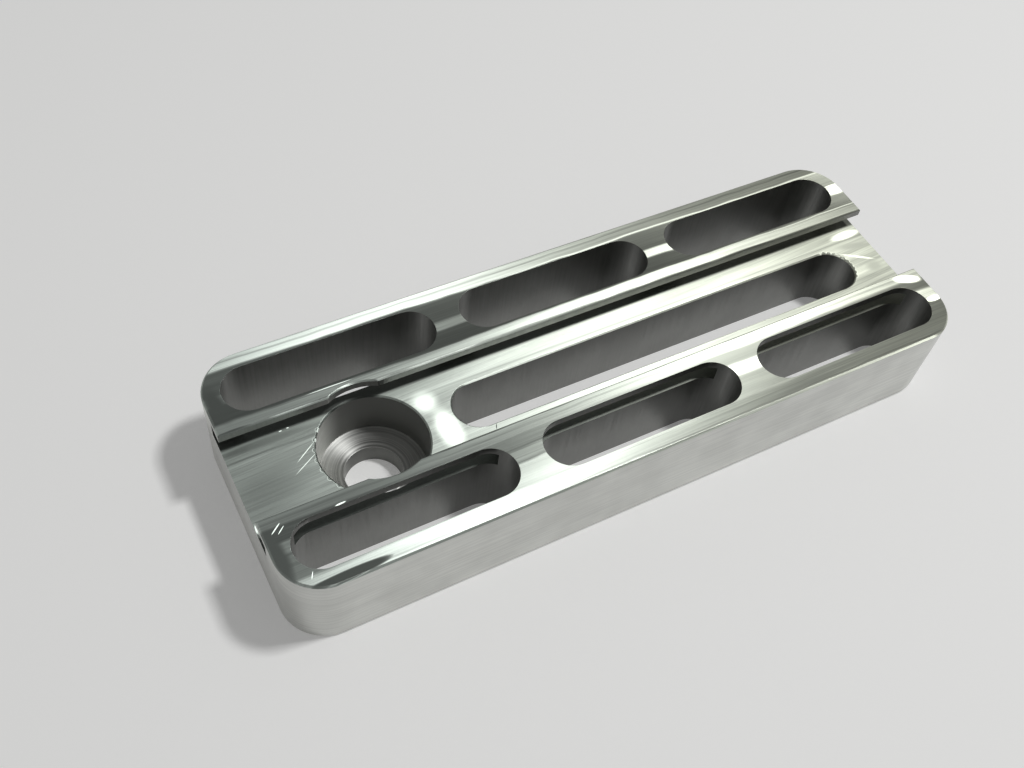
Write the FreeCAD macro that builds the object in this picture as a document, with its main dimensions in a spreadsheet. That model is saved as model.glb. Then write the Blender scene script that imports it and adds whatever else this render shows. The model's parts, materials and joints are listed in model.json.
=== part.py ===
import FreeCAD, Part
import math
import os

import Sketcher

# An accessory rail: one bar machined from a block of aluminium. A shallow T-shaped
# groove runs the full length of the top, between two rails that each carry three
# through slots. Under its lips the groove is so wide that it opens into the rail
# slots from the side. Its floor holds one long through slot and one counterbored
# screw hole, whose seat also scallops both lips.
# Frame: origin at the centre of the bottom face, +X along the bar away from the
# screw hole, +Y across the bar, +Z up, out of the groove.

NODE = "accessory_rail"

# Driving dimensions, in millimetres: alias, value, meaning.
SIZES = [
    ("bar_length", 100.0, "overall length, along X"),
    ("bar_corner", 6.0, "radius of the four upright corners"),
    ("top_break", 0.25, "edge break round the top outline"),
    ("bottom_break", 0.4, "edge break round the bottom outline"),
    ("floor_height", 10.0, "groove floor above the bottom face"),
    ("undercut_height", 2.3, "clear height of the groove under its lips"),
    ("lip_thickness", 1.2, "thickness of the two lips over the groove"),
    ("lip_gap", 12.7, "gap between the two lips"),
    ("undercut_reach", 2.95, "how far the groove reaches in under each lip"),
    ("lip_strip", 2.0, "strip of top face between the gap and a rail slot"),
    ("slot_width", 7.0, "width of every slot, all cut with one tool"),
    ("side_wall", 2.4, "wall between a rail slot and the bar's side"),
    ("end_wall", 2.4, "wall between a rail slot and the bar's end"),
    ("slot_web", 4.0, "web between neighbouring slots of one rail"),
    ("long_slot_left", 28.9, "bar's left end to the long slot"),
    ("long_slot_right", 5.5, "long slot to the bar's right end"),
    ("screw_left", 17.6, "bar's left end to the centre of the screw hole"),
    ("screw_diameter", 7.8, "through part of the screw hole"),
    ("seat_diameter", 14.4, "counterbore that takes the screw's head"),
    ("seat_web", 3.0, "material left under the counterbore"),
    ("rim_break", 0.2, "edge break along the lips and round the floor's cut-outs"),
]
SLOTS_PER_RAIL = 3
RAILS = 2

# Lengths and places that follow from the driving dimensions, as sheet expressions.
# Across the bar, the width is the sum of what lies side by side. Along a rail, the
# slots share what the end walls and the webs leave.
BAR_WIDTH = "(sizes.lip_gap + 2 * (sizes.lip_strip + sizes.slot_width + sizes.side_wall))"
BAR_HEIGHT = "(sizes.floor_height + sizes.undercut_height + sizes.lip_thickness)"
GROOVE_DEPTH = "(sizes.undercut_height + sizes.lip_thickness)"
UNDERCUT_WIDTH = "(sizes.lip_gap + 2 * sizes.undercut_reach)"
LEFT_END = "(-sizes.bar_length / 2)"
RAIL_CENTRE = "(sizes.lip_gap / 2 + sizes.lip_strip + sizes.slot_width / 2)"
RAIL_WALLS = f"(2 * sizes.end_wall + {SLOTS_PER_RAIL - 1} * sizes.slot_web)"
RAIL_SLOT = f"((sizes.bar_length - {RAIL_WALLS}) / {SLOTS_PER_RAIL})"
LONG_SLOT = "(sizes.bar_length - sizes.long_slot_left - sizes.long_slot_right)"

doc = FreeCAD.newDocument(NODE)


def make_sheet():
    """The sheet of driving dimensions: alias, value and meaning in each row."""
    sheet = doc.addObject("Spreadsheet::Sheet", "sizes")
    for row, (alias, value, meaning) in enumerate(SIZES, start=1):
        sheet.set(f"A{row}", alias)
        sheet.set(f"B{row}", str(value))
        sheet.set(f"C{row}", meaning)
        sheet.setAlias(f"B{row}", alias)
    doc.recompute()
    return sheet


def origin_feature(role):
    """The body's own origin plane or axis with this role, such as XY_Plane."""
    return next(f for f in body.Origin.OriginFeatures if f.Role == role)


def new_sketch(name, plane, **offset):
    """A sketch on an origin plane, moved along its own x, y or z by expressions.

    Every outline is drawn round its sketch's origin: the offset says where the
    feature sits, and the sketch's dimensions say only how large it is.
    """
    sketch = body.newObject("Sketcher::SketchObject", name)
    sketch.AttachmentSupport = [(origin_feature(plane), "")]
    sketch.MapMode = "FlatFace"
    for axis, expression in offset.items():
        sketch.setExpression(f"AttachmentOffset.Base.{axis}", expression)
    return sketch


def constrain(sketch, *rules):
    """Geometric constraints, each given as its kind and what it acts on."""
    for rule in rules:
        sketch.addConstraint(Sketcher.Constraint(*rule))


def dimension(sketch, name, expression, kind, *geometry):
    """A named dimension that takes its value from the sheet."""
    value = float(sketch.evalExpression(expression))
    index = sketch.addConstraint(Sketcher.Constraint(kind, *geometry, value))
    sketch.renameConstraint(index, name)
    sketch.setExpression(f"Constraints.{name}", expression)


def draw_line(sketch, start, end):
    """A straight line between two points of the sketch."""
    return sketch.addGeometry(Part.LineSegment(FreeCAD.Vector(*start), FreeCAD.Vector(*end)))


def draw_rectangle(sketch, width, height):
    """A rectangle centred on the sketch's origin, sized by two expressions."""
    x = float(sketch.evalExpression(width)) / 2
    y = float(sketch.evalExpression(height)) / 2
    bottom = draw_line(sketch, (-x, -y), (x, -y))
    right = draw_line(sketch, (x, -y), (x, y))
    top = draw_line(sketch, (x, y), (-x, y))
    left = draw_line(sketch, (-x, y), (-x, -y))
    constrain(
        sketch,
        ("Coincident", bottom, 2, right, 1),
        ("Coincident", right, 2, top, 1),
        ("Coincident", top, 2, left, 1),
        ("Coincident", left, 2, bottom, 1),
        ("Horizontal", bottom),
        ("Horizontal", top),
        ("Vertical", right),
        ("Vertical", left),
        ("Symmetric", bottom, 1, top, 1, -1, 1),
    )
    dimension(sketch, "width", width, "DistanceX", bottom, 1, bottom, 2)
    dimension(sketch, "height", height, "DistanceY", right, 1, right, 2)


def draw_slot(sketch, length):
    """A round-ended slot along the sketch's x, centred on its origin."""
    radius = float(sketch.evalExpression("sizes.slot_width")) / 2
    x = float(sketch.evalExpression(length)) / 2 - radius
    quarter = math.pi / 2
    up = FreeCAD.Vector(0, 0, 1)
    right_end = Part.Circle(FreeCAD.Vector(x, 0), up, radius)
    left_end = Part.Circle(FreeCAD.Vector(-x, 0), up, radius)
    right = sketch.addGeometry(Part.ArcOfCircle(right_end, -quarter, quarter))
    left = sketch.addGeometry(Part.ArcOfCircle(left_end, quarter, 3 * quarter))
    top = draw_line(sketch, (x, radius), (-x, radius))
    bottom = draw_line(sketch, (-x, -radius), (x, -radius))
    constrain(
        sketch,
        ("Tangent", right, 2, top, 1),
        ("Tangent", top, 2, left, 1),
        ("Tangent", left, 2, bottom, 1),
        ("Tangent", bottom, 2, right, 1),
        ("Horizontal", top),
        ("Horizontal", bottom),
        ("Symmetric", left, 3, right, 3, -1, 1),
    )
    dimension(sketch, "width", "sizes.slot_width", "Distance", top, 1, bottom, 2)
    dimension(sketch, "centres", f"{length} - sizes.slot_width", "DistanceX", left, 3, right, 3)


def draw_circle(sketch, diameter):
    """A circle centred on the sketch's origin."""
    radius = float(sketch.evalExpression(diameter)) / 2
    circle = Part.Circle(FreeCAD.Vector(0, 0), FreeCAD.Vector(0, 0, 1), radius)
    outline = sketch.addGeometry(circle)
    constrain(sketch, ("Coincident", outline, 3, -1, 1))
    dimension(sketch, "diameter", diameter, "Diameter", outline)


def finish_feature(feature, removes=True):
    """Recompute, then check that the feature is sound and did what it is there for."""
    before = body.Shape.Volume if removes else 0.0
    body.Tip = feature
    doc.recompute()
    after = feature.Shape.Volume
    print(f"{feature.Name:14s} volume {before:9.1f} -> {after:9.1f} mm3")
    if removes and not after < before:
        raise RuntimeError(f"{feature.Name} removed nothing")
    return feature


def cut_through(name, sketch):
    """A pocket through the whole bar, both ways from its sketch."""
    pocket = body.newObject("PartDesign::Pocket", name)
    pocket.Profile = sketch
    pocket.SideType = "Symmetric"
    pocket.Type = "ThroughAll"
    return finish_feature(pocket)


def upright_edges(shape):
    """Names of the straight edges that stand along Z."""
    names = []
    for number, edge in enumerate(shape.Edges, start=1):
        start, end = edge.Vertexes[0].Point, edge.Vertexes[-1].Point
        if abs((end - start).z) > edge.Length * 0.999:
            names.append(f"Edge{number}")
    return names


def level_edges(shape, z, reach):
    """Names of the edges level at this height that stay within reach of the middle."""
    names = []
    for number, edge in enumerate(shape.Edges, start=1):
        box = edge.BoundBox
        level = abs(box.ZMin - z) < 1e-6 and abs(box.ZMax - z) < 1e-6
        if level and max(-box.YMin, box.YMax) < reach - 1e-6:
            names.append(f"Edge{number}")
    return names


def level_face(shape, z):
    """Name of the flat face that lies level at this height."""
    for number, face in enumerate(shape.Faces, start=1):
        if abs(face.BoundBox.ZMin - z) < 1e-6 and abs(face.BoundBox.ZMax - z) < 1e-6:
            return f"Face{number}"
    raise RuntimeError(f"no level face at {z}")


def make_blank():
    """The bar before any cut: a block with round corners and broken edges."""
    outline = new_sketch("bar_outline", "XY_Plane")
    draw_rectangle(outline, "sizes.bar_length", BAR_WIDTH)
    block = body.newObject("PartDesign::Pad", "block")
    block.Profile = outline
    block.setExpression("Length", BAR_HEIGHT)
    finish_feature(block, removes=False)

    corners = body.newObject("PartDesign::Fillet", "corners")
    corners.Base = (block, upright_edges(block.Shape))
    corners.setExpression("Radius", "sizes.bar_corner")
    finish_feature(corners)

    height = corners.Shape.BoundBox.ZMax
    top = body.newObject("PartDesign::Chamfer", "top_edge")
    top.Base = (corners, [level_face(corners.Shape, height)])
    top.setExpression("Size", "sizes.top_break")
    finish_feature(top)

    bottom = body.newObject("PartDesign::Chamfer", "bottom_edge")
    bottom.Base = (top, [level_face(top.Shape, 0.0)])
    bottom.setExpression("Size", "sizes.bottom_break")
    finish_feature(bottom)


def cut_groove():
    """The T-shaped groove: the gap between the lips, then the wider space under them."""
    gap = new_sketch("gap_outline", "YZ_Plane", y=BAR_HEIGHT)
    draw_rectangle(gap, "sizes.lip_gap", f"2 * {GROOVE_DEPTH}")
    cut_through("lip_gap_cut", gap)

    undercut = new_sketch(
        "undercut_outline", "YZ_Plane", y="sizes.floor_height + sizes.undercut_height / 2"
    )
    draw_rectangle(undercut, UNDERCUT_WIDTH, "sizes.undercut_height")
    cut_through("undercut_cut", undercut)


def cut_rail_slots():
    """One through slot in a rail, repeated along the bar and on the other rail."""
    first = new_sketch(
        "rail_slot_outline",
        "XY_Plane",
        x=f"{LEFT_END} + sizes.end_wall + {RAIL_SLOT} / 2",
        y=f"-{RAIL_CENTRE}",
    )
    draw_slot(first, RAIL_SLOT)
    slot = cut_through("rail_slot", first)

    grid = body.newObject("PartDesign::LinearPattern", "rail_slots")
    grid.Originals = [slot]
    grid.Direction = (origin_feature("X_Axis"), [""])
    grid.Mode = "Spacing"
    grid.setExpression("Offset", f"{RAIL_SLOT} + sizes.slot_web")
    grid.Occurrences = SLOTS_PER_RAIL
    grid.Direction2 = (origin_feature("Y_Axis"), [""])
    grid.Mode2 = "Spacing"
    grid.setExpression("Offset2", f"2 * {RAIL_CENTRE}")
    grid.Occurrences2 = RAILS
    grid.Spacings2 = [-1.0]  # the step across takes Offset2, as the step along takes Offset
    finish_feature(grid)


def cut_long_slot():
    """The through slot in the groove's floor."""
    outline = new_sketch(
        "long_slot_outline",
        "XY_Plane",
        x=f"{LEFT_END} + sizes.long_slot_left + {LONG_SLOT} / 2",
    )
    draw_slot(outline, LONG_SLOT)
    cut_through("long_slot", outline)


def cut_screw_hole():
    """The counterbored hole beside the long slot, drilled from the top face."""
    centre = new_sketch(
        "screw_centre", "XY_Plane", x=f"{LEFT_END} + sizes.screw_left", z=BAR_HEIGHT
    )
    draw_circle(centre, "sizes.screw_diameter")
    doc.recompute()
    hole = body.newObject("PartDesign::Hole", "screw_hole")
    hole.Profile = centre
    hole.DepthType = "ThroughAll"
    hole.HoleCutType = "Counterbore"
    hole.HoleCutCustomValues = True
    hole.setExpression("Diameter", "sizes.screw_diameter")
    hole.setExpression("HoleCutDiameter", "sizes.seat_diameter")
    hole.setExpression("HoleCutDepth", f"{BAR_HEIGHT} - sizes.seat_web")
    return finish_feature(hole)


def break_rims(holed):
    """Small bevels along the lips' top edges and round the cut-outs in the floor."""
    half_groove = sheet.lip_gap / 2 + sheet.undercut_reach
    top_height = holed.Shape.BoundBox.ZMax
    lip_edges = level_edges(holed.Shape, top_height, half_groove)
    floor_edges = level_edges(holed.Shape, sheet.floor_height, half_groove)
    rims = body.newObject("PartDesign::Chamfer", "rims")
    rims.Base = (holed, lip_edges + floor_edges)
    rims.setExpression("Size", "sizes.rim_break")
    finish_feature(rims)


sheet = make_sheet()
body = doc.addObject("PartDesign::Body", "Body")
body.Label = NODE
make_blank()
cut_groove()
cut_long_slot()
break_rims(cut_screw_hole())
cut_rail_slots()

for item in doc.Objects:
    if {"Invalid", "Error"} & set(item.State):
        raise RuntimeError(f"{item.Name} failed: {item.State}")
if body.Shape.isNull() or not body.Shape.isValid() or len(body.Shape.Solids) != 1:
    raise RuntimeError("the bar is not one valid solid")

os.makedirs("parts", exist_ok=True)
body.Shape.exportStep(f"parts/{body.Label}.step")
size = body.Shape.BoundBox
print(f"{NODE}: {size.XLength:.2f} x {size.YLength:.2f} x {size.ZLength:.2f} mm")
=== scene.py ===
# %% [markdown]
# # A machined accessory rail in bare aluminium
#
# The real object is one bar of aluminium, milled all over and left bare. It has a
# T-shaped groove along its top, three through slots in each rail beside the groove, one
# long slot and one counterbored screw hole in the groove's floor.
#
# There is nothing to assemble, so this lesson is about two things: giving a CAD solid
# the tiny broken edges that catch light on real metal, and giving each kind of cut its
# own finish, because a face mill, an end mill and a counterbore leave different marks.

import json
import math

import bmesh
import bpy
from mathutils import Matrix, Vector


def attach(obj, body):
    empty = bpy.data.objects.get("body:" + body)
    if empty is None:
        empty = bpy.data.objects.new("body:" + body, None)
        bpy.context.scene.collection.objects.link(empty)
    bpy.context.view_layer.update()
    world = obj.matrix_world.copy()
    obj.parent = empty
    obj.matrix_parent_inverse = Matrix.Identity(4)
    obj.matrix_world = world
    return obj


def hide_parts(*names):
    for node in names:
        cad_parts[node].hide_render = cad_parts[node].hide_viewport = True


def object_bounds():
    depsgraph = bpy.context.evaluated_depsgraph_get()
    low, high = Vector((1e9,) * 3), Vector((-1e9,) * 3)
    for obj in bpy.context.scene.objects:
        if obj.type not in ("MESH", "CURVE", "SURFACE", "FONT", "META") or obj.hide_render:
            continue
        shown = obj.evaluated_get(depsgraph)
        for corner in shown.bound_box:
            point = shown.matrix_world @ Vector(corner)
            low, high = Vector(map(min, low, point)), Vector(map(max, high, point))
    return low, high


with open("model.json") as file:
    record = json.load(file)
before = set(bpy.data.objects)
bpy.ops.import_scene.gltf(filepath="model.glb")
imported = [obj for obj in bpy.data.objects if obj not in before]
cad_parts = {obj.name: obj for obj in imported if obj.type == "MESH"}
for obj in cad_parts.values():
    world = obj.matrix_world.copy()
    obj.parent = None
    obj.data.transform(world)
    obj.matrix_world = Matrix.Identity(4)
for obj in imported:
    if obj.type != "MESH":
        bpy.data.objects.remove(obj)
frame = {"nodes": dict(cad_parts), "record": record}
cad_low, cad_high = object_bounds()
print("CAD box:", tuple(cad_low), tuple(cad_high))

# %% [markdown]
# ## Measures
#
# Everything is placed from the CAD model itself: its box, and the mounts that its record
# describes. The screw hole's mount gives the axis that its round tool marks follow.

# %% Heights and places read from the model
MM = 0.001
mounts = {mount["name"]: mount for mount in frame["record"]["mounts"]}
screw_x = mounts["screw_hole"]["pos_m"][0]
seat_height = mounts["screw_hole"]["dims"]["length_mm"] * MM
seat_radius = mounts["screw_seat"]["dims"]["r_mm"] * MM
slot_radius = mounts["left_four_rail_slots"]["dims"]["hole_r_mm"] * MM
floor_height = mounts["groove_floor"]["pos_m"][2]
top_height = cad_high.z
half_length = cad_high.x
half_width = cad_high.y
print("top", top_height, "groove floor", floor_height, "screw seat", seat_height)

# %% [markdown]
# ## Camera
#
# The view is from above the bar's left front, close enough for strong perspective. A
# position and three angles set it. The lens is a little longer than a phone's.

# %% Camera
camera = bpy.data.objects.new("camera", bpy.data.cameras.new("camera"))
camera.location = (-0.06293, -0.07102, 0.13000)
camera.rotation_euler = [math.radians(angle) for angle in (35.954, -5.424, -27.753)]
camera.data.lens = 39.59
camera.data.clip_start = 0.01
bpy.context.collection.objects.link(camera)
bpy.context.scene.camera = camera
print("camera", tuple(camera.location))

# %% [markdown]
# ## The bar, with its edges broken
#
# A CAD solid has perfectly sharp edges. Real milled edges are deburred, so each one is a
# tiny round that catches a line of light, and without those lines metal looks like paper.
# The CAD mesh must stay as it is, so the bar is a copy of it: its loose triangles are
# joined, and flat faces are dissolved back to whole faces. The copy then stands for the
# CAD node.

# %% Join and clean a copy of the CAD mesh
WELD_DISTANCE = 0.001 * MM
FLAT_ANGLE = math.radians(0.3)


def joined_copy(node_name):
    """A bmesh of the node with its triangles joined and its flat faces made whole."""
    bm = bmesh.new()
    bm.from_mesh(frame["nodes"][node_name].data)
    bmesh.ops.remove_doubles(bm, verts=bm.verts, dist=WELD_DISTANCE)
    bmesh.ops.dissolve_limit(
        bm, angle_limit=FLAT_ANGLE, verts=bm.verts, edges=bm.edges
    )
    return bm


rail = joined_copy("accessory_rail")
open_edges = [edge for edge in rail.edges if not edge.is_manifold]
print("joined:", len(rail.faces), "faces,", len(open_edges), "open edges")

# %% [markdown]
# Each kind of cut gets its own finish later, so every face is sorted now, while its
# normal and its place still say plainly which tool made it. The bevels that come next
# take the finish of the faces beside them.

# %% Sort the faces by the tool that cut them
FINISHES = (
    "face_milled_top", "groove_floor", "screw_seat", "bored_wall", "slot_wall",
    "outer_side", "underside",
)
LEVEL_REACH = 0.5 * MM
BORE_REACH = 0.1 * MM
RIM_REACH = 0.3 * MM
CORNER_REACH = 6 * MM


def finish_of(face):
    """The name of the finish that belongs on this face of the bar."""
    normal, centre = face.normal, face.calc_center_median()
    if normal.z > 0.5:
        if centre.z > top_height - LEVEL_REACH:
            return "face_milled_top"
        return "groove_floor" if centre.z > floor_height - LEVEL_REACH else "screw_seat"
    if normal.z < -0.5:
        return "underside"
    if math.hypot(centre.x - screw_x, centre.y) < seat_radius + BORE_REACH:
        return "bored_wall"
    to_end = half_length - abs(centre.x)
    to_side = half_width - abs(centre.y)
    at_rim = min(to_end, to_side) < RIM_REACH
    at_corner = max(to_end, to_side) < CORNER_REACH
    faces_out = normal.x * centre.x > -1e-9 and normal.y * centre.y > -1e-9
    return "outer_side" if faces_out and (at_rim or at_corner) else "slot_wall"


counts = dict.fromkeys(FINISHES, 0)
for face in rail.faces:
    face.material_index = FINISHES.index(finish_of(face))
    counts[FINISHES[face.material_index]] += 1
print("faces of each finish:", counts)

# %% [markdown]
# A Bevel modifier could break the edges, but the bmesh operator does it once and for
# all, and it can be given just the edges that turn sharply. Two segments are enough for
# an edge this small. They only make the line of light soft.

# %% Break the sharp edges
EDGE_BREAK = 0.08 * MM
SHARP_ANGLE = math.radians(25)
sharp = [edge for edge in rail.edges if edge.calc_face_angle(0.0) > SHARP_ANGLE]
bmesh.ops.bevel(
    rail, geom=sharp, offset=EDGE_BREAK, offset_type="OFFSET", segments=2,
    profile=0.5, affect="EDGES", material=-1, clamp_overlap=True,
)
print("bevelled", len(sharp), "edges:", len(rail.faces), "faces")

# %% [markdown]
# A bmesh is only a workbench. To be seen, its faces go into a mesh, and the mesh into an
# object. The object then rides the part's only body and stands for the CAD solid.

# %% Make the bar an object that stands for the CAD node
bar_mesh = bpy.data.meshes.new("milled_bar")
for face in rail.faces:
    face.smooth = True
rail.to_mesh(bar_mesh)
rail.free()
bar = bpy.data.objects.new("milled_bar", bar_mesh)
bpy.context.collection.objects.link(bar)
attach(bar, "root")
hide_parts("accessory_rail")
print("bar:", len(bar_mesh.polygons), "faces")

# %% [markdown]
# Smooth shading would bend the light over the flat faces too. The Weighted Normal
# modifier lets the largest face at each corner decide, so only the tiny bevels curve.

# %% Keep the flat faces flat
weighted = bar.modifiers.new("flat_faces", "WEIGHTED_NORMAL")
weighted.mode = "FACE_AREA"
weighted.weight = 100
print("normals follow the face area")

# %% [markdown]
# ## Bare aluminium
#
# Every finish here is the same metal: fully metallic, pale, very slightly green-grey.
# What changes is the direction and depth of the tool marks, and in places a brightness
# that paints in highlights and shade. Fine parallel marks smear a highlight across
# themselves, which the shader calls anisotropy, so each finish needs the direction in
# which its highlight spreads, and a fine bump of the marks themselves.

# %% Helpers for shader trees
def new_finish(name):
    """A material with its tree and its Principled shader."""
    material = bpy.data.materials.new(name)
    material.use_nodes = True
    return material, material.node_tree, material.node_tree.nodes["Principled BSDF"]


def add(tree, kind, links=None, sockets=None, **settings):
    """A node with its settings, its incoming links and its fixed socket values."""
    node = tree.nodes.new(kind)
    for name, value in settings.items():
        setattr(node, name, value)
    for name, value in (sockets or {}).items():
        node.inputs[name].default_value = value
    for name, source in (links or {}).items():
        tree.links.new(source, node.inputs[name])
    return node


def calculate(tree, operation, *terms):
    """One step of arithmetic. Each term is a number or another node's output."""
    node = add(tree, "ShaderNodeMath", operation=operation)
    for socket, term in zip(node.inputs, terms):
        if isinstance(term, (int, float)):
            socket.default_value = term
        else:
            tree.links.new(term, socket)
    return node.outputs["Value"]


def remap(tree, value, low, high, to_low, to_high):
    """A value carried smoothly from one range to another, and kept inside it."""
    node = add(
        tree, "ShaderNodeMapRange", {"Value": value},
        {"From Min": low, "From Max": high, "To Min": to_low, "To Max": to_high},
        interpolation_type="SMOOTHSTEP",
    )
    return node.outputs["Result"]


def blend(tree, amount, first, second):
    """Goes from first to second as amount goes from 0 to 1. Either may be a number."""
    node = add(tree, "ShaderNodeMix", {"Factor": amount}, data_type="FLOAT")
    for name, term in (("A", first), ("B", second)):
        if isinstance(term, (int, float)):
            node.inputs[name].default_value = term
        else:
            tree.links.new(term, node.inputs[name])
    return node.outputs["Result"]


def streaks(tree, position, scale, detail=2.0, turn=0.0):
    """Noise stretched by a mapping: its long axis is the one with the smallest scale."""
    place = add(
        tree, "ShaderNodeMapping", {"Vector": position},
        {"Rotation": (0, 0, math.radians(turn))},
    )
    stretch = add(
        tree, "ShaderNodeMapping", {"Vector": place.outputs["Vector"]}, {"Scale": scale}
    )
    noise = add(
        tree, "ShaderNodeTexNoise", {"Vector": stretch.outputs["Vector"]},
        {"Scale": 1.0, "Detail": detail, "Roughness": 0.6},
    )
    return noise.outputs["Fac"]


def grain(tree, brightness, *kinds):
    """A brightness made uneven by marks, each kind given as marks, lowest and highest."""
    for marks, low, high in kinds:
        share = remap(tree, marks, 0.3, 0.7, low, high)
        brightness = calculate(tree, "MULTIPLY", brightness, share)
    return brightness


def ramp(tree, value, stops):
    """A value read off a line drawn through (place, level) stops, both from 0 to 1."""
    node = add(tree, "ShaderNodeValToRGB", {"Fac": value})
    elements = node.color_ramp.elements
    while len(elements) < len(stops):
        elements.new(0.5)
    for element, (place, level) in zip(elements, stops):
        element.position = place
        element.color = (level, level, level, 1.0)
    return node.outputs["Color"]


def across_bar(tree, y, levels):
    """A level that changes across the bar, from (y in mm, level) stops."""
    place = calculate(tree, "MULTIPLY_ADD", y, 0.5 / half_width, 0.5)
    half = half_width / MM
    return ramp(tree, place, [(0.5 + 0.5 * mm / half, level) for mm, level in levels])


def patch(tree, position, x, y, reach_x, reach_y, turn=0.0, soft=0.5):
    """A soft-edged oval at a place in mm: 1 in its middle and 0 outside."""
    local = add(
        tree, "ShaderNodeMapping", {"Vector": position},
        {"Location": (x * MM, y * MM, 0), "Rotation": (0, 0, math.radians(turn)),
         "Scale": (reach_x * MM, reach_y * MM, 1.0)},
        vector_type="TEXTURE",
    )
    flat = add(
        tree, "ShaderNodeVectorMath", {0: local.outputs["Vector"]}, {1: (1, 1, 0)},
        operation="MULTIPLY",
    )
    away = add(
        tree, "ShaderNodeVectorMath", {0: flat.outputs["Vector"]}, operation="LENGTH"
    )
    return remap(tree, away.outputs["Value"], 1.0 - soft, 1.0, 1.0, 0.0)


print("helpers ready")

# %% [markdown]
# Every finish ends the same way: its brightness times a tint is the metal's colour, and
# its marks give roughness and bump. The tangent is the way in which highlights spread, so
# it runs across the marks. A tint is the shares of red, green and blue.

# %% How every finish is closed
PLAIN_TINT = (0.99, 1.0, 0.96)
LEFT_TINT = (0.91, 1.0, 0.93)
RIGHT_TINT = (0.96, 1.0, 0.85)


def end_to_end_tint(tree, position):
    """A tint that goes from a cooler grey at the left end to a warmer one at the right."""
    x = add(tree, "ShaderNodeSeparateXYZ", {"Vector": position}).outputs["X"]
    red = remap(tree, x, -half_length, half_length, LEFT_TINT[0], RIGHT_TINT[0])
    blue = remap(tree, x, -half_length, half_length, LEFT_TINT[2], RIGHT_TINT[2])
    return red, PLAIN_TINT[1], blue


MARK_DEPTH = 0.02 * MM
ROUGHNESS_SWING = 0.08


def close_finish(tree, shader, tint, brightness, marks, spread_way, roughness, spread):
    """Links brightness, marks and highlight direction into the Principled shader."""
    colour = add(tree, "ShaderNodeCombineColor")
    for name, share in zip(("Red", "Green", "Blue"), tint):
        tree.links.new(
            calculate(tree, "MULTIPLY", brightness, share), colour.inputs[name]
        )
    tree.links.new(colour.outputs["Color"], shader.inputs["Base Color"])
    smoothest, roughest = roughness - ROUGHNESS_SWING, roughness + ROUGHNESS_SWING
    rough = remap(tree, marks, 0.25, 0.75, smoothest, roughest)
    tree.links.new(rough, shader.inputs["Roughness"])
    bump = add(
        tree, "ShaderNodeBump", {"Height": marks},
        {"Strength": 0.5, "Distance": MARK_DEPTH},
    )
    tree.links.new(bump.outputs["Normal"], shader.inputs["Normal"])
    tree.links.new(spread_way, shader.inputs["Tangent"])
    shader.inputs["Metallic"].default_value = 1.0
    shader.inputs["Anisotropic"].default_value = spread


def spread_over(tree, lean):
    """The spreading direction on a level face whose marks lean away from X."""
    way = add(tree, "ShaderNodeCombineXYZ", {"X": lean}, {"Y": 1.0})
    return way.outputs["Vector"]


def spread_across(tree, marks_way):
    """The spreading direction on any face whose marks run along a fixed axis."""
    facing = add(tree, "ShaderNodeNewGeometry").outputs["Normal"]
    node = add(
        tree, "ShaderNodeVectorMath", {0: facing}, {1: marks_way},
        operation="CROSS_PRODUCT",
    )
    return node.outputs["Vector"]


def lay_marks_and_painted_light(tree, position, brightness, lean, marks):
    """Lays soft-edged marks, painted shade and painted highlights over a finish, each with
    its own brightness and lean.
    """
    for *place, level, own_lean in marks:
        amount = patch(tree, position, *place)
        brightness = blend(tree, amount, brightness, level)
        lean = blend(tree, amount, lean, own_lean)
    return brightness, lean


ARC_STEP = 12
ARC_HIGHLIGHT_SIZE = 0.4


def arc_highlights(centre_x, radius, first, last, level, lean):
    """Small round patches along an arc, from one angle in degrees to another: painted
    highlights on rims.
    """
    marks = []
    for angle in range(first, last + 1, ARC_STEP):
        x = centre_x + radius * math.cos(math.radians(angle))
        y = radius * math.sin(math.radians(angle))
        marks.append((x, y, ARC_HIGHLIGHT_SIZE, ARC_HIGHLIGHT_SIZE, 0.0, 0.6, level, lean))
    return tuple(marks)


print("closing step ready")

# %% [markdown]
# ## Finish 1: face-milled tops
#
# The tops of the rails were cut by passes along the bar. Each pass leaves a band brighter
# or duller than its neighbour, and its marks lean a little, because a turning tool leaves
# arcs: so one band shines at the bar's left and another at its right. Each band's
# brightness is partly painted light: it is set to the sheen or shade that band shows
# under this lamp. Brightness and lean are both ramps across Y, in millimetres from the
# middle.
#
# A lean is the sideways slope of the highlight's spread. At 0 the band shines at the
# bar's middle, below 0 further left, and above 0 further right.

# %% Bands of the tops
# Each level is partly painted light: it is set to the sheen or shade that band shows under
# the key lamp.
TOP_PASS_AND_SHEEN_LEVELS = (
    (-17.7, 0.9), (-17.4, 0.9), (-17.25, 0.45), (-17.1, 0.8), (-15.7, 0.85),
    (-15.3, 0.62), (-11.9, 0.60), (-11.6, 0.98), (-10.4, 0.98), (-10.0, 0.36),
    (-8.3, 0.42), (-7.9, 0.82), (-7.4, 0.85), (-7.3, 0.5), (-7.15, 0.85), (-6.6, 0.85),
    (-6.5, 0.35), (6.5, 0.28), (6.6, 0.9), (7.6, 0.9), (8.1, 0.36), (10.4, 0.42),
    (10.8, 0.95), (11.8, 0.95), (12.2, 0.48), (15.4, 0.58), (15.9, 0.9), (16.6, 0.9),
    (16.8, 0.5), (17.0, 0.9), (17.4, 0.85), (17.6, 0.6),
)
TOP_LEANS = (
    (-17.7, -0.28), (-15.8, -0.28), (-15.2, -0.04), (-12.2, 0.0), (-11.8, 0.32),
    (-10.2, 0.32), (-9.8, 0.16), (-8.2, 0.16), (-7.9, 0.26), (-6.3, 0.26), (6.3, 0.1),
    (7.9, 0.1), (8.2, 0.9), (10.3, 0.8), (10.7, 0.32), (11.9, 0.32), (12.3, 0.8),
    (15.2, 0.7), (15.8, -0.24), (17.7, -0.24),
)
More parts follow.
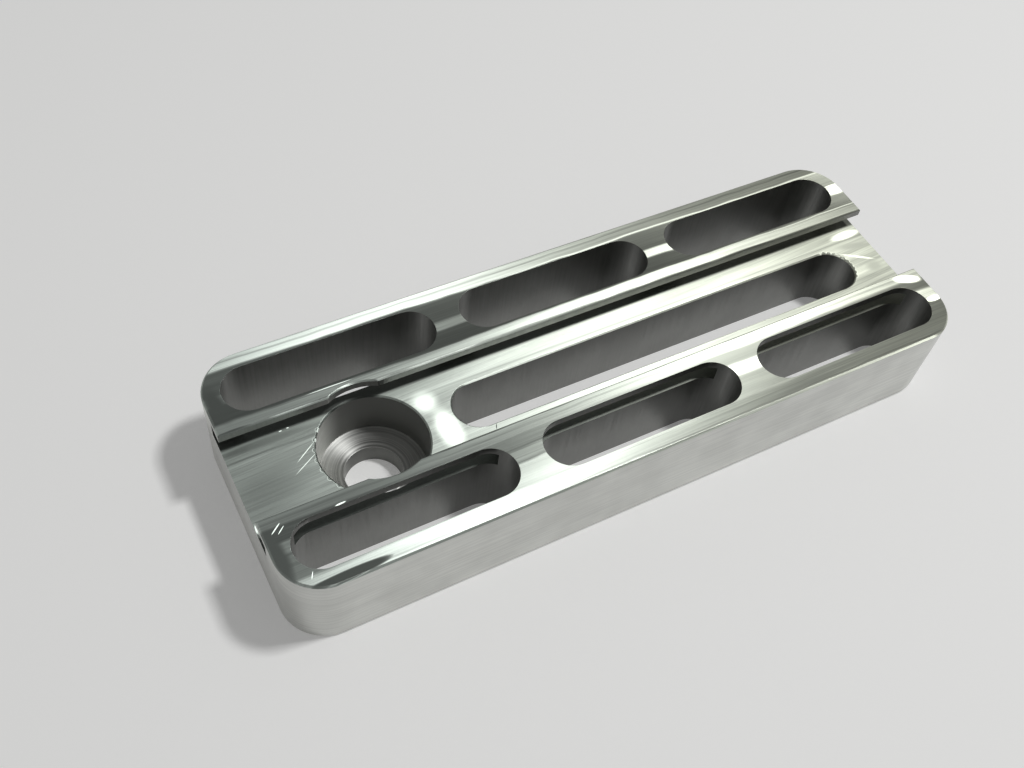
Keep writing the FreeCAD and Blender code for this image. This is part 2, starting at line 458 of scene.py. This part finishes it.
# Painted shade on the left end's corners and outer edge, bright scratches partly painted
# as glints, and painted highlights on the right end's corners: x, y, reach along and
# reach across in mm, turn in degrees, share of the reach that fades out, and then the
# mark's own brightness and lean.
TOP_SCRATCHES_AND_PAINTED_LIGHT = (
    (-43.5, -17.1, 6.5, 0.75, 2.0, 0.3, 0.38, 0.5),
    (-49.3, -12.0, 1.5, 5.0, 0.0, 0.6, 0.42, 0.5),
    (-48.7, 11.0, 1.8, 4.0, 10.0, 0.7, 0.36, 0.5),
    (-48.2, -8.2, 1.1, 0.09, 38.0, 0.4, 1.0, -0.7),
    (-47.7, -8.6, 0.8, 0.07, 40.0, 0.4, 0.95, -0.7),
    (-46.6, -15.4, 0.6, 0.06, 62.0, 0.4, 1.0, -0.6),
    (-40.2, -8.2, 0.9, 0.14, 4.0, 0.5, 1.0, -0.6),
    (-35.0, 7.9, 4.0, 0.08, 0.0, 0.6, 0.9, -0.5),
    (48.9, -12.1, 1.7, 0.6, 0.0, 0.4, 1.0, 0.70),
    (48.9, 10.9, 1.6, 0.55, 0.0, 0.4, 1.0, 0.70),
    (48.9, 12.3, 1.8, 0.25, 0.0, 0.4, 1.0, 0.70),
    (47.5, -7.7, 2.6, 0.9, -20.0, 0.5, 0.95, 0.68),
)
BAND_WANDER = 0.15 * MM


def face_milled_top():
    """Lines along X with bands of brightness and lean across Y, the brightness partly
    painted sheen and shade.
    """
    material, tree, shader = new_finish("face_milled_top")
    position = add(tree, "ShaderNodeTexCoord").outputs["Object"]
    y = add(tree, "ShaderNodeSeparateXYZ", {"Vector": position}).outputs["Y"]
    wander = streaks(tree, position, (90, 90, 90))
    wander = remap(tree, wander, 0.3, 0.7, -BAND_WANDER, BAND_WANDER)
    y = calculate(tree, "ADD", y, wander)

    # The bands' levels paint in sheen and shade, besides the passes' own tone.
    brightness = across_bar(tree, y, TOP_PASS_AND_SHEEN_LEVELS)
    broad = streaks(tree, position, (25, 900, 900), detail=2.0)
    fine = streaks(tree, position, (60, 6000, 6000), detail=3.0)
    brightness = grain(tree, brightness, (broad, 0.9, 1.06), (fine, 0.88, 1.06))
    # A ramp holds only 0 to 1, so each lean goes in halved and comes out doubled.
    halved = [(mm, 0.5 + 0.5 * lean) for mm, lean in TOP_LEANS]
    lean = calculate(tree, "MULTIPLY_ADD", across_bar(tree, y, halved), 2.0, -1.0)
    brightness, lean = lay_marks_and_painted_light(tree, position, brightness, lean, TOP_SCRATCHES_AND_PAINTED_LIGHT)
    close_finish(
        tree, shader, end_to_end_tint(tree, position), brightness, fine,
        spread_over(tree, lean), roughness=0.44, spread=0.9,
    )
    return material


bar_mesh.materials.append(face_milled_top())
print("tops:", len(TOP_PASS_AND_SHEEN_LEVELS), "levels across the bar,", len(TOP_SCRATCHES_AND_PAINTED_LIGHT), "marks")

# %% [markdown]
# ## Finish 2: the groove's floor
# The floor was cut by a smaller tool, with finer lines. Its left end is bluish and darker
# in soft patches, its right end is mottled in soft patches, some spots carry painted
# highlights, and under the lips the floor is painted dark with shade. Its left end is
# bluish and dull,
# where stock has rubbed along it, and its right end is brushed across in soft patches.

# %% Groove floor
# The very low levels under the lips, past 6.5 mm from the middle, are painted shade: the
# lips' shadow falls on the floor there.
FLOOR_LEVELS_WITH_LIP_SHADE = (
    (-8.4, 0.16), (-6.7, 0.22), (-6.4, 0.9), (-3.5, 0.98), (3.9, 0.98), (4.2, 0.85),
    (4.35, 0.6), (4.5, 0.98), (6.3, 0.9), (6.7, 0.16), (8.4, 0.14),
)
RIM_GAP = 0.1
seat_rim = seat_radius / MM + RIM_GAP
slot_rim = slot_radius / MM + RIM_GAP
LONG_SLOT_TO_END = 5.5
slot_round_x = (half_length - slot_radius) / MM - LONG_SLOT_TO_END
# Marks in the tops' columns: darker soft patches at both ends, a nick, bright specks and
# scratches partly painted as glints, a burr's painted highlight at the left end, painted
# highlights beside the long slot's left end, at the right end and round the rims of the
# long slot and the seat, and painted shade at the seat's far rim.
FLOOR_MARKS_AND_PAINTED_LIGHT = (
    (-45.0, 5.7, 9.0, 0.9, 0.0, 0.7, 0.50, 0.0),
    (-47.0, -1.0, 8.0, 4.5, 8.0, 0.9, 0.66, 0.1),
    (-22.8, -2.0, 2.2, 4.5, 0.0, 0.8, 1.0, -0.35),
    (-24.0, 3.0, 2.5, 2.5, 0.0, 0.9, 1.0, -0.25),
    (47.3, 2.9, 3.8, 0.9, -12.0, 0.7, 0.62, 0.2),
    (47.8, -1.6, 2.0, 1.9, 25.0, 0.8, 0.66, 0.2),
    (46.5, 0.9, 3.2, 0.25, -32.0, 0.7, 1.0, 0.6),
    (47.5, 5.2, 3.4, 0.9, 0.0, 0.7, 1.0, 0.6),
    (-17.1, -4.1, 0.5, 0.07, 65.0, 0.4, 0.05, 0.0),
    (-42.3, 6.4, 0.25, 0.10, 0.0, 0.5, 1.0, -0.6),
    (-41.3, 6.5, 0.2, 0.10, 0.0, 0.5, 1.0, -0.6),
    (-42.0, -5.6, 0.8, 0.10, 5.0, 0.5, 1.0, -0.6),
    (-40.6, 2.2, 2.2, 0.07, 34.0, 0.5, 1.0, -0.5),
    (-41.2, 0.6, 2.4, 0.06, 30.0, 0.5, 1.0, -0.5),
    (-49.8, -5.8, 0.2, 1.2, 0.0, 0.5, 1.0, -0.7),
    (screw_x / MM, seat_rim, 6.0, 1.0, 0.0, 0.5, 0.12, 0.0),
    *arc_highlights(slot_round_x, slot_rim, -36, 72, 1.0, 4.0),
    *arc_highlights(screw_x / MM, seat_rim, 140, 212, 1.0, -4.0),
)


def groove_floor():
    """Fine lines along X, painted dark with shade under the lips, and patchy at both ends
    with painted highlights among the patches.
    """
    material, tree, shader = new_finish("groove_floor")
    position = add(tree, "ShaderNodeTexCoord").outputs["Object"]
    y = add(tree, "ShaderNodeSeparateXYZ", {"Vector": position}).outputs["Y"]
    fine = streaks(tree, position, (70, 5000, 5000), detail=3.0, turn=-3.0)
    broad = streaks(tree, position, (30, 500, 500), detail=2.0, turn=-2.0)
    brightness = across_bar(tree, y, FLOOR_LEVELS_WITH_LIP_SHADE)
    brightness = grain(tree, brightness, (broad, 0.9, 1.04), (fine, 0.88, 1.05))
    lean = remap(tree, broad, 0.2, 0.8, 0.0, 0.22)
    brightness, lean = lay_marks_and_painted_light(tree, position, brightness, lean, FLOOR_MARKS_AND_PAINTED_LIGHT)
    close_finish(
        tree, shader, end_to_end_tint(tree, position), brightness, fine,
        spread_over(tree, lean), roughness=0.49, spread=0.82,
    )
    return material


bar_mesh.materials.append(groove_floor())
print("groove floor:", len(FLOOR_MARKS_AND_PAINTED_LIGHT), "marks")

# %% [markdown]
# ## Finish 3: the screw seat and its bore
#
# A counterbore turns on the spot, so it leaves rings round the screw's axis. Rings smear
# light along the radius, which draws the bright fan that turned faces show.

# %% Screw seat and bored walls
RINGS_PER_METRE = 3500.0


def arm_from_screw(tree, position):
    """The level vector out from the screw's axis, and its length."""
    arm = add(
        tree, "ShaderNodeVectorMath", {0: position}, {1: (screw_x, 0.0, 0.0)},
        operation="SUBTRACT",
    )
    level = add(
        tree, "ShaderNodeVectorMath", {0: arm.outputs["Vector"]}, {1: (1, 1, 0)},
        operation="MULTIPLY",
    )
    size = add(
        tree, "ShaderNodeVectorMath", {0: level.outputs["Vector"]}, operation="LENGTH"
    )
    return level.outputs["Vector"], size.outputs["Value"]


def screw_seat():
    """Rings round the screw's axis."""
    material, tree, shader = new_finish("screw_seat")
    position = add(tree, "ShaderNodeTexCoord").outputs["Object"]
    outward, radius = arm_from_screw(tree, position)
    count = calculate(tree, "MULTIPLY", radius, RINGS_PER_METRE)
    rings = add(
        tree, "ShaderNodeTexNoise", {"W": count}, {"Scale": 1.0, "Detail": 3.0},
        noise_dimensions="1D",
    ).outputs["Fac"]
    brightness = remap(tree, rings, 0.3, 0.7, 0.42, 0.62)
    close_finish(
        tree, shader, PLAIN_TINT, brightness, rings, outward, roughness=0.42, spread=0.85
    )
    return material


def bored_wall():
    """Level rings, with a painted highlight on the bore's left side and painted shade on
    the rest.
    """
    material, tree, shader = new_finish("bored_wall")
    position = add(tree, "ShaderNodeTexCoord").outputs["Object"]
    rings = streaks(tree, position, (90, 90, 4000), detail=2.0)
    outward, _ = arm_from_screw(tree, position)
    x = add(tree, "ShaderNodeSeparateXYZ", {"Vector": outward}).outputs["X"]
    # Painted light: the lamp lights the bore's left side and leaves the rest in shade, and
    # this ramp round the axis paints that into the colour.
    painted_lit_side = remap(tree, x, -0.9 * seat_radius, -0.2 * seat_radius, 1.0, 0.28)
    brightness = grain(tree, painted_lit_side, (rings, 0.88, 1.02))
    way = spread_across(tree, (0.0, 0.0, 1.0))
    close_finish(
        tree, shader, PLAIN_TINT, brightness, rings, way, roughness=0.7, spread=0.0
    )
    return material


bar_mesh.materials.append(screw_seat())
bar_mesh.materials.append(bored_wall())
print("screw seat and bored walls ready")

# %% [markdown]
# ## Finish 4: walls, sides and underside
#
# The slots' walls were cut by the side of an end mill: faint upright chatter. The outer
# sides are brushed along the bar, and the underside is milled like the tops.

# %% Walls, sides and underside
def walled(name, scale, marks_way, level, roughness, spread):
    """A finish whose marks run along one axis, whichever way the face looks."""
    material, tree, shader = new_finish(name)
    position = add(tree, "ShaderNodeTexCoord").outputs["Object"]
    marks = streaks(tree, position, scale, detail=3.0)
    cloud = streaks(tree, position, (150, 150, 150), detail=2.0)
    brightness = calculate(
        tree, "MULTIPLY",
        remap(tree, marks, 0.3, 0.7, level * 0.88, level * 1.08),
        remap(tree, cloud, 0.3, 0.7, 0.92, 1.04),
    )
    way = spread_across(tree, marks_way)
    close_finish(tree, shader, PLAIN_TINT, brightness, marks, way, roughness, spread)
    return material


ALONG_BAR = (1.0, 0.0, 0.0)
UPRIGHT = (0.0, 0.0, 1.0)
# Painted shade: the low level darkens the slots' walls and the groove's walls and
# undercut, where these recesses lie in shade.
slot_wall = walled(
    "slot_wall", (2600, 2600, 90), UPRIGHT, level=0.24, roughness=0.42, spread=0.4
)
outer_side = walled(
    "outer_side", (60, 60, 3200), ALONG_BAR, level=0.66, roughness=0.38, spread=0.5
)
underside = walled(
    "underside", (60, 4200, 4200), ALONG_BAR, level=0.62, roughness=0.42, spread=0.7
)
for material in (slot_wall, outer_side, underside):
    bar_mesh.materials.append(material)
assert tuple(m.name for m in bar_mesh.materials) == FINISHES
print("finishes:", [m.name for m in bar_mesh.materials])

# %% [markdown]
# ## Floor and light
#
# One soft lamp stands high on the right, and an even grey sky fills the shadows. A dim
# sky matters: bare metal shows whatever surrounds it, and what makes it look like metal
# is the step from a dim sky to a bright lamp.
#
# The floor is pale paint. A faint glow, which only the camera and the metal's reflections
# see, keeps it pale under the dim sky without putting more light on the bar. Its shadow
# stays.

# %% Floor
FLOOR_RADIUS = 4.0
FLOOR_GLOW = 0.16
floor_mesh = bpy.data.meshes.new("floor")
bm = bmesh.new()
bmesh.ops.create_circle(bm, cap_ends=True, segments=96, radius=FLOOR_RADIUS)
bm.to_mesh(floor_mesh)
bm.free()
floor = bpy.data.objects.new("floor", floor_mesh)
bpy.context.collection.objects.link(floor)
floor_paint, tree, shader = new_finish("pale_floor")
shader.inputs["Base Color"].default_value = (0.88, 0.88, 0.87, 1.0)
shader.inputs["Roughness"].default_value = 0.8
shader.inputs["Emission Color"].default_value = (1.0, 1.0, 0.99, 1.0)
seen = add(tree, "ShaderNodeLightPath").outputs
looked_at = calculate(
    tree, "MAXIMUM", seen["Is Camera Ray"],
    calculate(tree, "MAXIMUM", seen["Is Glossy Ray"], seen["Is Transmission Ray"]),
)
glow = calculate(tree, "MULTIPLY", looked_at, FLOOR_GLOW)
tree.links.new(glow, shader.inputs["Emission Strength"])
floor_mesh.materials.append(floor_paint)
print("floor radius", FLOOR_RADIUS, "m")

# %% Lamp and sky
SKY_GREY = (0.20, 0.20, 0.20, 1.0)


def soft_lamp(name, direction, distance, size, power):
    """A square area lamp that looks at the bar's middle."""
    light = bpy.data.lights.new(name, "AREA")
    light.shape = "SQUARE"
    light.size = size
    light.energy = power
    lamp = bpy.data.objects.new(name, light)
    lamp.location = Vector(direction).normalized() * distance
    lamp.rotation_euler = lamp.location.to_track_quat("Z", "Y").to_euler()
    bpy.context.collection.objects.link(lamp)
    return lamp


key = soft_lamp("key", (0.397, -0.106, 0.913), distance=0.70, size=0.08, power=2.1)
world = bpy.data.worlds.new("studio")
world.use_nodes = True
world.node_tree.nodes["Background"].inputs["Color"].default_value = SKY_GREY
bpy.context.scene.world = world
bpy.context.scene.view_settings.view_transform = "Standard"
print("lamp at", tuple(key.location))
